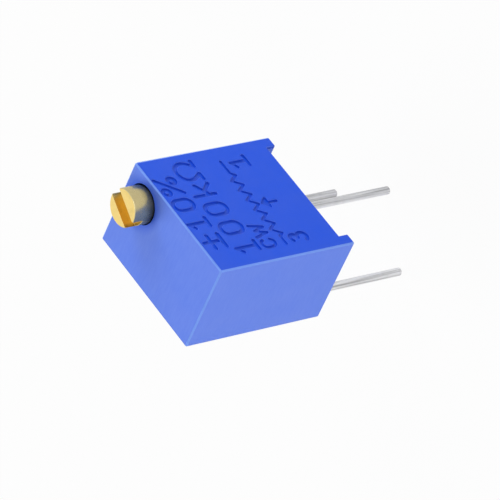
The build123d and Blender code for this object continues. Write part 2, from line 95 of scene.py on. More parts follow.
# The mapping that turns Z, along which streaks run, to Y
ALONG_Y = (math.pi / 2, 0, 0)
# The camera that was fitted to the photograph: where it stands, and its own axes
CAMERA_PLACE = (-0.084184, -0.103301, 0.107501)
CAMERA_RIGHT = (-0.54226, -0.33980, -0.76843)
CAMERA_UP = (0.67990, -0.71480, -0.16370)
CAMERA_BACK = (-0.49365, -0.61123, 0.61864)


def colour_property(name, description, default):
    """A colour that the user can change."""
    return FloatVectorProperty(
        name=name, description=description, subtype="COLOR", size=3, min=0, max=1, default=default
    )


def length_property(name, description, default):
    """A length in metres that the user can change."""
    return FloatProperty(
        name=name, description=description, default=default, min=0, precision=6, unit="LENGTH"
    )


def share_property(name, description, default):
    """A number from 0 to 1 that the user can change."""
    return FloatProperty(
        name=name, description=description, default=default, min=0, max=1, subtype="FACTOR"
    )


def power_property(name, description, default):
    """A lamp's power in watts that the user can change."""
    return FloatProperty(name=name, description=description, default=default, min=0, unit="POWER")


class CaseLook(PropertyGroup):
    """Moulded case and its potting."""

    colour: colour_property(
        "Plastic", "Colour of the moulded case's marked face", (0.003, 0.085, 0.78)
    )
    # Painted sheen: the walls get a paler colour, as the bright surroundings that they reflect
    sheen_colour: colour_property(
        "Painted wall sheen",
        "Colour of the walls' painted sheen, paler than the marked face",
        (0.13, 0.24, 0.84),
    )
    roughness: share_property("Plastic roughness", "Roughness of the moulded case", 0.48)
    grain_size: length_property(
        "Grain size", "Width of one grain that the mould leaves on the plastic", 0.00005
    )
    grain_depth: length_property("Grain depth", "Depth of the mould's grain", 0.000001)
    mark_rounding: length_property("Mark rims", "Rounding of the rims of the sunk marks", 0.000028)
    mark_floor_rounding: length_property(
        "Mark floors", "Rounding at the floors of the sunk marks", 0.000012
    )
    # Painted shade that darkens the floors of the sunk marks
    mark_shade: share_property("Shade in marks", "How much painted shade darkens the floors of the marks", 0.2)
    mark_depth: length_property("Mark depth", "Depth of the sunk marks in the packed part", 0.00009)
    marks_above: length_property(
        "Marks start", "Height over the seat from which edges on the front are marks", 0.0008
    )
    corner_radius: length_property(
        "Corner radius", "Radius of the case's edges in the packed part", 0.00007
    )
    # Painted highlight along the case's rounded edges
    edge_highlight: share_property("Edge highlight", "How bright the painted highlight on the case's edges is", 0.4)
    # Painted shade: near the screw's head the walls get no painted sheen
    head_shade_reach: length_property(
        "Head's shade reach", "How far from the screw's head the painted shade reaches", 0.0005
    )
    foot_width: length_property("Foot width", "Width of a foot in the packed part", 0.00056)
    foot_height: length_property("Foot height", "Height of a foot in the packed part", 0.00048)
    shortest_edge: length_property(
        "Shortest edge", "Points of the marks that are nearer than this are joined", 0.000007
    )
    edge_rounding: length_property(
        "Edge rounding", "Rounding of the feet's edges and of the back's rim", 0.00005
    )
    potting_colour: colour_property(
        "Potting", "Colour of the resin that closes the back", (0.01, 0.028, 0.17)
    )
    meniscus_height: length_property(
        "Meniscus height", "How far the resin climbs the walls of the case", 0.00006
    )
    meniscus_reach: length_property(
        "Meniscus reach", "How far from the wall the resin's climb fades", 0.00022
    )


class ScrewLook(PropertyGroup):
    """Adjusting screw with its seal ring and its retaining fork."""

    brass: colour_property("Brass", "Colour of the screw's cut face and slot", (0.9, 0.68, 0.24))
    roughness: share_property("Brass roughness", "Roughness of the cut face and slot", 0.3)
    skin: colour_property("Skin", "Colour of the screw's tarnished round skin", (0.66, 0.56, 0.29))
    skin_roughness: share_property("Skin roughness", "Roughness of the round skin", 0.27)
    # Painted shade at the foot of the screw's head
    foot_shade_height: length_property(
        "Foot shade height", "How far the painted shade climbs the skin over the case", 0.0005
    )
    skin_depth: length_property("Skin depth", "How deep the tarnished skin goes", 0.00003)
    edge_break: length_property(
        "Edge break", "Width of the small bevel on the head's cut edges", 0.000022
    )
    ring_pitch: length_property(
        "Turning pitch", "Distance between the rings that turning leaves on the head", 0.0006
    )
    rubber: colour_property("Seal ring", "Colour of the rubber ring", (0.02, 0.02, 0.021))
    steel: colour_property("Retaining fork", "Colour of the fork", (0.56, 0.56, 0.57))


class InsideLook(PropertyGroup):
    """Rotor, wiper and resistance element."""

    rotor: colour_property("Rotor", "Colour of the moulded worm wheel", (0.78, 0.75, 0.66))
    spring: colour_property("Wiper spring", "Colour of the sprung contact", (0.72, 0.66, 0.5))
    ceramic: colour_property("Ceramic plate", "Colour of the alumina plate", (0.84, 0.83, 0.79))
    resistor: colour_property("Resistance film", "Colour of the horseshoe", (0.035, 0.04, 0.045))
    conductor: colour_property("Conductor film", "Colour of the printed pads", (0.72, 0.71, 0.68))


class TerminalLook(PropertyGroup):
    """Wire terminals and their solder."""

    tin: colour_property("Tinned wire", "Colour of the tinned pins", (0.95, 0.95, 0.95))
    roughness: share_property("Tin roughness", "Roughness of the tinned pins", 0.5)
    streak_width: length_property(
        "Streak width", "Width of a drawing line along the wire", 0.00013
    )
    # Drawing lines, and on the pins a painted reflection of dark bands
    contrast: share_property("Streak and reflection contrast", "How much darker the wire's dark lines are, which on the pins stand in for reflected dark bands", 0.5)
    solder: colour_property("Solder", "Colour of the solder joints", (0.66, 0.66, 0.67))


class StageLook(PropertyGroup):
    """Floor, lamps, surroundings and camera."""

    floor: colour_property("Floor", "Colour of the floor", (0.68, 0.68, 0.68))
    floor_size: length_property("Floor size", "Length of the floor's side", 1.2)
    shadow: share_property("Shadow", "Share of the floor's own shading that the camera sees", 0.05)
    mirrored: share_property(
        "White in reflections", "Share of plain white in the floor that gloss reflects", 0.3
    )
    surround: share_property(
        "Surroundings", "Strength of the soft light from all round", 0.2
    )
    top_power: power_property("Top lamp", "Power of the lamp above and behind the part", 0.345)
    left_power: power_property("Left lamp", "Power of the lamp at the part's left", 0.187)
    front_power: power_property("Front lamp", "Power of the lamp before the part's left edge", 0.13)
    right_power: power_property(
        "Right lamp", "Power of the lamp that rakes the marked face from its right", 0.235
    )
    lens: FloatProperty(
        name="Lens",
        description="Focal length of the camera",
        default=0.28673,
        min=0.001,
        precision=5,
        unit="LENGTH",
    )


# Node trees
def add_node(tree, kind, label, values=None, **settings):
    """A labelled node with its settings and its unlinked inputs."""
    node = tree.nodes.new(kind)
    node.label = label
    for name, value in settings.items():
        setattr(node, name, value)
    for name, value in (values or {}).items():
        node.inputs[name].default_value = value
    return node


def mix_colours(tree, label, factor, first, second, blend_type="MIX"):
    """A colour mix. The colours may be sockets or values."""
    node = add_node(tree, "ShaderNodeMix", label, data_type="RGBA", blend_type=blend_type)
    names = {"Factor_Float": factor, "A_Color": first, "B_Color": second}
    for socket in node.inputs:
        if socket.identifier in names:
            value = names[socket.identifier]
            if isinstance(value, bpy.types.NodeSocket):
                tree.links.new(value, socket)
            elif isinstance(value, (int, float)):
                socket.default_value = value
            else:
                socket.default_value = (*value, 1)
    return next(socket for socket in node.outputs if socket.identifier == "Result_Color")


def maths(tree, label, operation, first, second):
    """The result of an operation on two values, each a socket or a number."""
    node = add_node(tree, "ShaderNodeMath", label, operation=operation)
    for socket, value in zip(node.inputs, (first, second)):
        if isinstance(value, bpy.types.NodeSocket):
            tree.links.new(value, socket)
        else:
            socket.default_value = value
    return node.outputs[0]


def spread(tree, label, value, low, high, from_low=0.0, from_high=1.0):
    """A value from 0 to 1 spread over another range."""
    node = add_node(
        tree,
        "ShaderNodeMapRange",
        label,
        {"From Min": from_low, "From Max": from_high, "To Min": low, "To Max": high},
    )
    tree.links.new(value, node.inputs["Value"])
    return node.outputs["Result"]


def new_group(name, inputs, outputs):
    """An empty shader node group with named sockets."""
    group = bpy.data.node_groups.new(name, "ShaderNodeTree")
    for socket_name, kind, default in inputs:
        socket = group.interface.new_socket(socket_name, in_out="INPUT", socket_type=kind)
        if default is not None:
            socket.default_value = default
    for socket_name in outputs:
        group.interface.new_socket(socket_name, in_out="OUTPUT", socket_type="NodeSocketFloat")
    return group, group.nodes.new("NodeGroupInput"), group.nodes.new("NodeGroupOutput")


def in_units_of(tree, vector, size):
    """The vector divided by a size, so that one unit is one grain, cloud or streak."""
    inverse = maths(tree, "One over the size", "DIVIDE", 1.0, size)
    node = add_node(tree, "ShaderNodeVectorMath", "In units of the size", operation="SCALE")
    tree.links.new(vector, node.inputs[0])
    tree.links.new(inverse, node.inputs["Scale"])
    return node.outputs[0]


def build_mould_grain():
    """Fine grain that an eroded mould leaves on plastic: its height, and a mask of its grains."""
    group, given, result = new_group(
        "Mould grain",
        [("Coordinates", "NodeSocketVector", None), ("Grain Size", "NodeSocketFloat", 0.00005)],
        ["Height", "Grains"],
    )
    place = in_units_of(group, given.outputs["Coordinates"], given.outputs["Grain Size"])
    noise = add_node(
        group, "ShaderNodeTexNoise", "Soft grains", {"Scale": 1.0, "Detail": 3.0, "Roughness": 0.55}
    )
    cells = add_node(
        group,
        "ShaderNodeTexVoronoi",
        "Pits",
        {"Scale": 0.7, "Randomness": 1.0},
        feature="SMOOTH_F1",
    )
    group.links.new(place, noise.inputs["Vector"])
    group.links.new(place, cells.inputs["Vector"])
    pits = maths(group, "Half of the pits", "MULTIPLY", cells.outputs["Distance"], 0.5)
    height = maths(group, "Grains and pits", "ADD", noise.outputs["Fac"], pits)
    group.links.new(height, result.inputs["Height"])
    group.links.new(noise.outputs["Fac"], result.inputs["Grains"])
    return group


def build_clouds():
    """Slow unevenness of a surface, as handling, flow or firing leaves it."""
    group, given, result = new_group(
        "Clouds",
        [("Coordinates", "NodeSocketVector", None), ("Cloud Size", "NodeSocketFloat", 0.001)],
        ["Clouds", "Blotches"],
    )
    place = in_units_of(group, given.outputs["Coordinates"], given.outputs["Cloud Size"])
    noise = add_node(
        group,
        "ShaderNodeTexNoise",
        "Clouds",
        {"Scale": 1.0, "Detail": 4.0, "Roughness": 0.6, "Distortion": 0.3},
    )
    group.links.new(place, noise.inputs["Vector"])
    group.links.new(noise.outputs["Fac"], result.inputs["Clouds"])
    blotches = spread(group, "Only the densest clouds", noise.outputs["Fac"], 0.0, 1.0, 0.52, 0.72)
    group.links.new(blotches, result.inputs["Blotches"])
    return group


def build_drawn_streaks():
    """Long fine lines along Z, as drawing, rolling or wiping leaves them."""
    group, given, result = new_group(
        "Drawn streaks",
        [
            ("Coordinates", "NodeSocketVector", None),
            ("Streak Width", "NodeSocketFloat", 0.00003),
            ("Slenderness", "NodeSocketFloat", 25.0),
        ],
        ["Streaks"],
    )
    place = in_units_of(group, given.outputs["Coordinates"], given.outputs["Streak Width"])
    parts = add_node(group, "ShaderNodeSeparateXYZ", "Along and across")
    group.links.new(place, parts.inputs[0])
    slenderness = given.outputs["Slenderness"]
    along = maths(group, "Stretched along Z", "DIVIDE", parts.outputs["Z"], slenderness)
    joined = add_node(group, "ShaderNodeCombineXYZ", "Stretched place")
    group.links.new(parts.outputs["X"], joined.inputs["X"])
    group.links.new(parts.outputs["Y"], joined.inputs["Y"])
    group.links.new(along, joined.inputs["Z"])
    noise = add_node(
        group, "ShaderNodeTexNoise", "Lines", {"Scale": 1.0, "Detail": 3.0, "Roughness": 0.65}
    )
    group.links.new(joined.outputs[0], noise.inputs["Vector"])
    group.links.new(noise.outputs["Fac"], result.inputs["Streaks"])
    return group


def build_effects():
    """The effects that several materials share, built once."""
    builders = {
        "Mould grain": build_mould_grain,
        "Clouds": build_clouds,
        "Drawn streaks": build_drawn_streaks,
    }
    for name, build in builders.items():
        if name not in bpy.data.node_groups:
            build()


def add_effect(tree, name, coordinates, values):
    """Places one of the shared effects, with this material's own values."""
    node = add_node(tree, "ShaderNodeGroup", name, node_tree=bpy.data.node_groups[name])
    tree.links.new(coordinates, node.inputs["Coordinates"])
    for socket, value in values.items():
        node.inputs[socket].default_value = value
    return node


def new_material(name, **shader_values):
    """A material with its shader, its output and its object coordinates."""
    material = bpy.data.materials.new(name)
    material.use_nodes = True
    tree = material.node_tree
    tree.nodes.clear()
    shader = add_node(tree, "ShaderNodeBsdfPrincipled", "Surface")
    for socket, value in shader_values.items():
        shader.inputs[socket.replace("_", " ")].default_value = value
    output = add_node(tree, "ShaderNodeOutputMaterial", "Output")
    tree.links.new(shader.outputs["BSDF"], output.inputs["Surface"])
    place = add_node(tree, "ShaderNodeTexCoord", "Place on the piece").outputs["Object"]
    return material, tree, shader, place


def add_bump(tree, shader, height, distance):
    """Relief from a height between 0 and 1, whose full height is the distance."""
    bump = add_node(tree, "ShaderNodeBump", "Relief", {"Strength": 1.0, "Distance": distance})
    tree.links.new(height, bump.inputs["Height"])
    tree.links.new(bump.outputs["Normal"], shader.inputs["Normal"])


def shade(colour, factor):
    """A colour made darker or lighter."""
    return tuple(min(part * factor, 1) for part in colour)


def marks_and_walls(tree, place, face):
    """Masks: depth in the marks, 1 on the side, back and top walls, 1 on the edges that get a
    painted highlight.
    """
    parts = add_node(tree, "ShaderNodeSeparateXYZ", "Across, into and up the case")
    tree.links.new(place, parts.inputs[0])
    depth = spread(tree, "Depth", parts.outputs["Y"], 0.0, 1.0, face["front"], face["mark_floor"])
    aside = add_node(tree, "ShaderNodeMath", "To either side", operation="ABSOLUTE")
    tree.links.new(parts.outputs["X"], aside.inputs[0])
    behind = maths(tree, "Behind the marks", "GREATER_THAN", parts.outputs["Y"], face["behind"])
    beside = maths(tree, "On a side", "GREATER_THAN", aside.outputs[0], face["half_width"])
    above = maths(tree, "On the screw's side", "GREATER_THAN", parts.outputs["Z"], face["height"])
    either = maths(tree, "Behind or on a side", "MAXIMUM", behind, beside)
    on_wall = maths(tree, "On a side, back or top wall", "MAXIMUM", either, above)
    before = maths(tree, "Before the edges' end", "LESS_THAN", parts.outputs["Y"], face["edge_end"])
    on_front = maths(tree, "On the marked face's edges", "MULTIPLY", on_wall, before)
    on_top = maths(tree, "On the screw's side's edges", "MULTIPLY", beside, above)
    on_edge = maths(tree, "On an edge", "MAXIMUM", on_front, on_top)
    return maths(tree, "Depth in the marks", "SUBTRACT", depth, on_wall), on_wall, on_edge


def outside_head_shade(tree, place, face):
    """Low beside the screw's head, where the walls keep their deep colour as painted shade, and 1
    further off.
    """
    reach = add_node(
        tree,
        "ShaderNodeVectorMath",
        "Distance from the screw's hole",
        {1: face["screw_hole"]},
        operation="DISTANCE",
    )
    tree.links.new(place, reach.inputs[0])
    near = face["screw_radius"]
    return spread(
        tree, "Outside the head's painted shade", reach.outputs["Value"], 0.25, 1.0, near, near + face["head_shade_reach"]
    )


def marks_with_painted_light(tree, place, colour, plain, face):
    """A case's colour, with painted shade in its marks, a painted highlight on their rims, a
    painted sheen on the walls and a paler painted highlight on the edges.
    """
    turned = add_node(tree, "ShaderNodeMapping", "Along the draw", {"Rotation": ALONG_Y})
    tree.links.new(place, turned.inputs["Vector"])
    sheen_streak_node = add_effect(
        tree,
        "Drawn streaks",
        turned.outputs[0],
        {"Streak Width": 80 * MICRON, "Slenderness": 8.0},
    )
    streaks = sheen_streak_node.outputs["Streaks"]
    sheen_streak_share = spread(tree, "Streaks in the painted sheen", streaks, 0.86, 1.0, 0.35, 0.65)
    in_marks, on_wall, on_edge = marks_and_walls(tree, place, face)
    # Painted shade: the marks' floors are darkened towards a dark blue, as shade in the sunk
    # strokes
    painted_mark_shade = spread(tree, "Painted shade in the marks", in_marks, 0.0, face["painted_mark_shade"])
    shaded_marks = mix_colours(tree, "Marks with painted shade", painted_mark_shade, plain, shade(colour, 0.3))
    # Painted highlight: the marks' rims are paled towards the walls' colour, as light catching the
    # rounded rims
    rising = spread(tree, "Under the face", in_marks, 0.0, 0.45, 0.01, 0.1)
    falling = spread(tree, "Over the marks' walls", in_marks, 1.0, 0.0, 0.15, 0.4)
    rims = maths(tree, "Painted highlight on the rims", "MULTIPLY", rising, falling)
    rim_highlit = mix_colours(tree, "Painted rim highlight", rims, shaded_marks, face["sheen_colour"])
    # Painted sheen: the side, back and top walls are paled towards a whitish blue, as reflected
    # bright surroundings; streaks break it up, and it stays off beside the screw's head
    unshaded_by_head = outside_head_shade(tree, place, face)
    sheen_walls = maths(tree, "Walls with painted sheen", "MULTIPLY", on_wall, unshaded_by_head)
    pale = maths(tree, "Painted sheen", "MULTIPLY", sheen_walls, sheen_streak_share)
    sheened = mix_colours(tree, "Painted wall sheen", pale, rim_highlit, face["sheen_colour"])
    # Painted highlight: a thin strip along the case's rounded edges is paled, as light catching
    # them
    edge_highlit = maths(tree, "Painted highlight on the edges", "MULTIPLY", on_edge, face["edge_highlight"])
    return mix_colours(tree, "Painted edge highlight", edge_highlit, sheened, shade(face["sheen_colour"], 2))


def moulded_plastic(name, colour, roughness, grain_size, grain_depth, face=None):
    """Moulded plastic with fine grain and slow unevenness of its gloss.

    A case's face with marks keeps the colour and gets painted shade in its marks; its walls and
    edges get a paler painted sheen and highlight.
    """
    material, tree, shader, place = new_material(name, Roughness=roughness, IOR=1.5)
    grain = add_effect(tree, "Mould grain", place, {"Grain Size": grain_size})
    clouds = add_effect(tree, "Clouds", place, {"Cloud Size": 1600 * MICRON})
    flow = mix_colours(
        tree,
        "Flow of the plastic",
        clouds.outputs["Clouds"],
        shade(colour, 0.95),
        shade(colour, 1.05),
    )
    speckled = mix_colours(tree, "Grains", grain.outputs["Grains"], shade(colour, 0.9), flow)
    if face:
        speckled = marks_with_painted_light(tree, place, colour, speckled, face)
    tree.links.new(speckled, shader.inputs["Base Color"])
    gloss = spread(
        tree, "Uneven gloss", clouds.outputs["Clouds"], roughness - 0.06, roughness + 0.08, 0.3, 0.7
    )
    tree.links.new(gloss, shader.inputs["Roughness"])
    add_bump(tree, shader, grain.outputs["Height"], grain_depth)
    return material


def on_skin(tree, centred, radius, height):
    """Masks: 1 on a turned piece's round skin, not on its end faces, and 1 in its slot's ends."""
    parts = add_node(tree, "ShaderNodeSeparateXYZ", "Across and along the screw")
    tree.links.new(centred, parts.inputs[0])
    level = add_node(tree, "ShaderNodeCombineXYZ", "Level with the axis")
    tree.links.new(parts.outputs["X"], level.inputs["X"])
    tree.links.new(parts.outputs["Y"], level.inputs["Y"])
    reach = add_node(tree, "ShaderNodeVectorMath", "Distance from the axis", operation="LENGTH")
    tree.links.new(level.outputs[0], reach.inputs[0])
    outside = maths(tree, "Near the skin", "GREATER_THAN", reach.outputs["Value"], radius)
    below = maths(tree, "Below the end face", "LESS_THAN", parts.outputs["Z"], height)
    near = spread(
        tree, "Towards the slot's ends", reach.outputs["Value"], 0.0, 1.0, radius * 0.8, radius
    )
    slot_ends = maths(tree, "In the slot's ends", "MULTIPLY", near, below)
    return maths(tree, "On the skin", "MULTIPLY", outside, below), slot_ends


def height_of(tree, place):
    """The height of a point on the piece."""
    parts = add_node(tree, "ShaderNodeSeparateXYZ", "Height")
    tree.links.new(place, parts.inputs[0])
    return parts.outputs["Z"]


def turned_brass(look, low, high, foot):
    """Brass with rings from turning, bright where it was cut and dull on its round skin.

    Over foot, the height at which the head leaves the case, the skin is darkened by a painted
    shade.
    """
    material, tree, shader, place = new_material(
        "turned_brass", Metallic=1.0, Roughness=look.roughness
    )
    middle = (low + high) / 2
    centred = add_node(
        tree, "ShaderNodeMapping", "Centred on the screw", {"Location": (-middle.x, -middle.y, 0)}
    )
    tree.links.new(place, centred.inputs["Vector"])
    skin, slot_ends = on_skin(
        tree, centred.outputs[0], (high.x - low.x) / 2 - look.skin_depth, high.z - look.skin_depth
    )
    rings = add_node(
        tree,
        "ShaderNodeTexWave",
        "Turning rings",
        {
            "Scale": WAVE_LENGTH / look.ring_pitch,
            "Distortion": 0.4,
            "Detail": 2.0,
            "Detail Scale": 2.0,
        },
        wave_type="RINGS",
        rings_direction="Z",
    )
    tree.links.new(centred.outputs[0], rings.inputs["Vector"])
    clouds = add_effect(tree, "Clouds", place, {"Cloud Size": 400 * MICRON})
    tarnished = mix_colours(
        tree, "Tarnish", clouds.outputs["Blotches"], look.brass[:], shade(look.brass, 0.9)
    )
    # Painted shade: the slot's walls near the skin are darkened, as shade at the slot's ends
    slot_shaded = mix_colours(
        tree, "Painted shade in the slot's ends", slot_ends, tarnished, shade(look.brass, 0.45)
    )
    # Painted shade: the skin is darkened just over the case, as shade where the head meets it
    unshaded_from = foot + look.foot_shade_height
    above_foot_shade = spread(tree, "Clear of the painted shade", height_of(tree, place), 0.0, 1.0, foot, unshaded_from)
    foot_shaded = mix_colours(tree, "Painted shade over the case", above_foot_shade, shade(look.skin, 0.28), look.skin[:])
    skinned = mix_colours(tree, "Dull skin", skin, slot_shaded, foot_shaded)
    tree.links.new(skinned, shader.inputs["Base Color"])
    gloss = spread(tree, "Uneven gloss", clouds.outputs["Clouds"], -0.03, 0.05, 0.3, 0.7)
    smoothed = spread(tree, "Smooth skin", skin, look.roughness, look.skin_roughness)
    roughness = maths(tree, "Roughness", "ADD", smoothed, gloss)
    tree.links.new(roughness, shader.inputs["Roughness"])
    add_bump(tree, shader, rings.outputs["Fac"], 0.2 * MICRON)
    return material


def drawn_metal(name, colour, roughness, streak_width, depth, turn=(0, 0, 0), contrast=0.05):
    """Drawn, rolled or stamped metal, streaked along Z before the turn."""
    material, tree, shader, place = new_material(name, Metallic=1.0, Roughness=roughness)
    turned = add_node(tree, "ShaderNodeMapping", "Along the metal's length", {"Rotation": turn})
    tree.links.new(place, turned.inputs["Vector"])
    streaks = add_effect(
        tree,
        "Drawn streaks",
        turned.outputs[0],
        {"Streak Width": streak_width, "Slenderness": 60.0},
    ).outputs["Streaks"]
    clouds = add_effect(tree, "Clouds", place, {"Cloud Size": 500 * MICRON})
    dulled = mix_colours(
        tree, "Dull patches", clouds.outputs["Blotches"], colour, shade(colour, 0.93)
    )
    # Drawing lines; with a high contrast, as on the pins, they are also a painted reflection of the
    # dark bands that the wire reflects
    bands = spread(tree, "Bands", streaks, 0.0, 1.0, 0.38, 0.62)
    darker = shade((1, 1, 1), 1 - contrast)
    dark = mix_colours(tree, "Dark lines and painted reflection bands", 1.0, dulled, darker, blend_type="MULTIPLY")
    banded = mix_colours(tree, "Bands along the metal", bands, dark, dulled)
    tree.links.new(banded, shader.inputs["Base Color"])
    gloss = spread(
        tree, "Streaked gloss", streaks, roughness - 0.05, roughness + 0.08, 0.3, 0.7
    )
    tree.links.new(gloss, shader.inputs["Roughness"])
    add_bump(tree, shader, streaks, depth)
    return material


def fired_ceramic(name, colour, roughness, grain_size, grain_depth, metallic=0.0):
    """Fired ceramic or printed film, with a sandy grain."""
    material, tree, shader, place = new_material(name, Metallic=metallic, Roughness=roughness)
    grain = add_effect(tree, "Mould grain", place, {"Grain Size": grain_size})
    clouds = add_effect(tree, "Clouds", place, {"Cloud Size": 800 * MICRON})
    mottled = mix_colours(
        tree, "Mottling", clouds.outputs["Clouds"], shade(colour, 0.9), shade(colour, 1.06)
    )
    sandy = mix_colours(tree, "Sandy grain", grain.outputs["Grains"], shade(colour, 0.85), mottled)
    tree.links.new(sandy, shader.inputs["Base Color"])
    gloss = spread(
        tree, "Uneven gloss", grain.outputs["Grains"], roughness - 0.08, roughness + 0.1, 0.3, 0.7
    )
    tree.links.new(gloss, shader.inputs["Roughness"])
    add_bump(tree, shader, grain.outputs["Height"], grain_depth)
    return material


def dressed(node_name, material):
    """Gives a CAD node its material."""
    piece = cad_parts[node_name]
    piece.data.materials.clear()
    piece.data.materials.append(material)


def copy_of(node_name):
    """An editable copy of a CAD node's mesh, welded and at the bench's scale."""
    mesh = bmesh.new()
    mesh.from_mesh(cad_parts[node_name].data)
    bmesh.ops.scale(mesh, verts=mesh.verts, vec=(BENCH, BENCH, BENCH))
    bmesh.ops.remove_doubles(mesh, verts=mesh.verts, dist=TOUCH)
    return mesh


def join_flat_faces(mesh):
    """Makes each flat face one polygon."""
    bmesh.ops.dissolve_limit(mesh, angle_limit=FLAT_TURN, verts=mesh.verts, edges=mesh.edges)


def bench_box(node_name):
    """A CAD node's lowest and highest corners at the bench's scale."""
    low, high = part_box(node_name)
    return low * BENCH, high * BENCH


def corners(mesh, chosen):
    """The outer edges between chosen points at which the surface turns a corner."""
    return [
        edge
        for edge in mesh.edges
        if edge.is_manifold
        and edge.is_convex
        and edge.calc_face_angle() > CORNER_TURN
        and all(chosen(vert.co) for vert in edge.verts)
    ]


def soften(mesh, edges, width, clamp=False):
    """Rounds edges off by a small bevel. A clamped one never runs over its neighbours."""
    bmesh.ops.bevel(
        mesh,
        geom=edges,
        offset=width,
        offset_type="OFFSET",
        segments=2,
        profile=0.5,
        affect="EDGES",
        material=-1,
        clamp_overlap=clamp,
    )


def round_border(mesh, faces, radius, sink):
    """Rounds the border of a region by two narrow strips that turn from it into the walls."""
    walls = set(mesh.faces) - set(faces)
    # The middle of a quarter round lies this share of its radius from either side
    shallow = 1 - math.sqrt(0.5)
    strips = []
    for share in (shallow, 1 - shallow):
        made = bmesh.ops.inset_region(
            mesh, faces=faces, thickness=share * radius, use_even_offset=True, use_boundary=False
        )
        strips.append(made["faces"])
    outer, inner = ({vert for face in strip for vert in face.verts} for strip in strips)
    border = {vert for vert in outer if any(face in walls for face in vert.link_faces)}
    middle = (outer & inner) - border
    bmesh.ops.translate(mesh, verts=list(border), vec=sink * radius)
    bmesh.ops.translate(mesh, verts=list(middle), vec=sink * radius * shallow)
    mesh.normal_update()


def shade_mesh(mesh, angle, flat):
    """Shades everything smooth, but for sharp corners and the borders of flat faces."""
    for face in mesh.faces:
        face.smooth = True
    for edge in mesh.edges:
        turns = edge.is_manifold and edge.calc_face_angle() > angle
        beside_flat = len({face in flat for face in edge.link_faces}) == 2
        edge.smooth = not turns and not beside_flat
    bmesh.ops.triangulate(mesh, faces=[face for face in mesh.faces if len(face.verts) > 4])


def large_faces(mesh, least_area):
    """The faces that are many-sided or over an area in square millimetres."""
    return {face for face in mesh.faces if len(face.verts) > 4 or face.calc_area() > least_area}


def placed(mesh, name, material, body):
    """Turns an edited mesh into a piece that rides on a body."""
    bmesh.ops.scale(mesh, verts=mesh.verts, vec=(1 / BENCH, 1 / BENCH, 1 / BENCH))
    data = bpy.data.meshes.new(name)
    mesh.to_mesh(data)
    mesh.free()
    data.materials.append(material)
    piece = bpy.data.objects.new(name, data)
    bpy.context.scene.collection.objects.link(piece)
    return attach(piece, body)


def marked_face(look):
    """Where the case's front, marks, edges and screw hole are, in metres, and how they look."""
    low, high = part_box("housing")
    screw_low, screw_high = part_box("adjusting_screw")
    screw = (screw_low + screw_high) / 2
    return {
        "front": low.y,
        "mark_floor": low.y + look.mark_depth,
        # Half a mark's depth behind the marks' floors, so that no floor counts as a wall
        "behind": low.y + look.mark_depth * 1.5,
        "edge_end": low.y + look.corner_radius,
        "half_width": high.x - look.corner_radius,
        "height": high.z - look.corner_radius,
        "screw_hole": (screw.x, screw.y, high.z),
        "screw_radius": (screw_high.x - screw_low.x) / 2,
        "head_shade_reach": look.head_shade_reach,
        "edge_highlight": look.edge_highlight,
        "sheen_colour": look.sheen_colour[:],
        "painted_mark_shade": look.mark_shade,
    }


class TRIMMER_OT_case(Operator):
    """Mould the case again with its edges and marks softened"""

    bl_idname = "trimmer.case"
    bl_label = "Case"

    def execute(self, context):
        look = context.scene.trimmer_case
        plastic = moulded_plastic(
            "case_plastic",
            look.colour[:],
            look.roughness,
            look.grain_size,
            look.grain_depth,
            marked_face(look),
        )
        low, high = bench_box("housing")
        front = low.y + TOUCH
        marks_low = low.z + look.marks_above * BENCH
        mark_floor = low.y + look.mark_depth * BENCH
        mesh = copy_of("housing")
        in_marks = [
            vert for vert in mesh.verts if vert.co.y < mark_floor + TOUCH and vert.co.z > marks_low
        ]
        bmesh.ops.remove_doubles(mesh, verts=in_marks, dist=look.shortest_edge * BENCH)
        sunk = {
            face
            for face in mesh.faces
            if front < face.calc_center_median().y
            and all(vert.co.y < mark_floor + TOUCH and vert.co.z > marks_low for vert in face.verts)
        }
        if not sunk:
            raise RuntimeError("the case has no marks on its front")
        inwards = Vector((0, 1, 0))
        around = [face for face in mesh.faces if face not in sunk]
        round_border(mesh, around, look.mark_rounding * BENCH, inwards)
        floors = [
            face
            for face in mesh.faces
            if face in sunk and all(vert.co.y > mark_floor - TOUCH for vert in face.verts)
        ]
        round_border(mesh, floors, look.mark_floor_rounding * BENCH, -inwards)
        inside_foot = high.x - look.foot_width * BENCH - TOUCH
        under = low.z + look.foot_height * BENCH + TOUCH
        feet = corners(
            mesh,
            lambda place: place.z < under
            and (abs(place.x) > inside_foot or place.y < front or place.y > high.y - TOUCH),
        )
        back_rim = corners(mesh, lambda place: place.y > high.y - TOUCH and place.z > under)
        soften(mesh, feet + back_rim, look.edge_rounding * BENCH)
        mesh.normal_update()
        flat = {
            face
            for face in mesh.faces
            if max(abs(part) for part in face.normal) > SQUARE_ON
            and not front < face.calc_center_median().y < mark_floor - TOUCH
        }
        shade_mesh(mesh, angle=math.radians(60), flat=flat)
        piece = placed(mesh, "moulded_case", plastic, "case")
        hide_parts("housing")
        return {"FINISHED"}


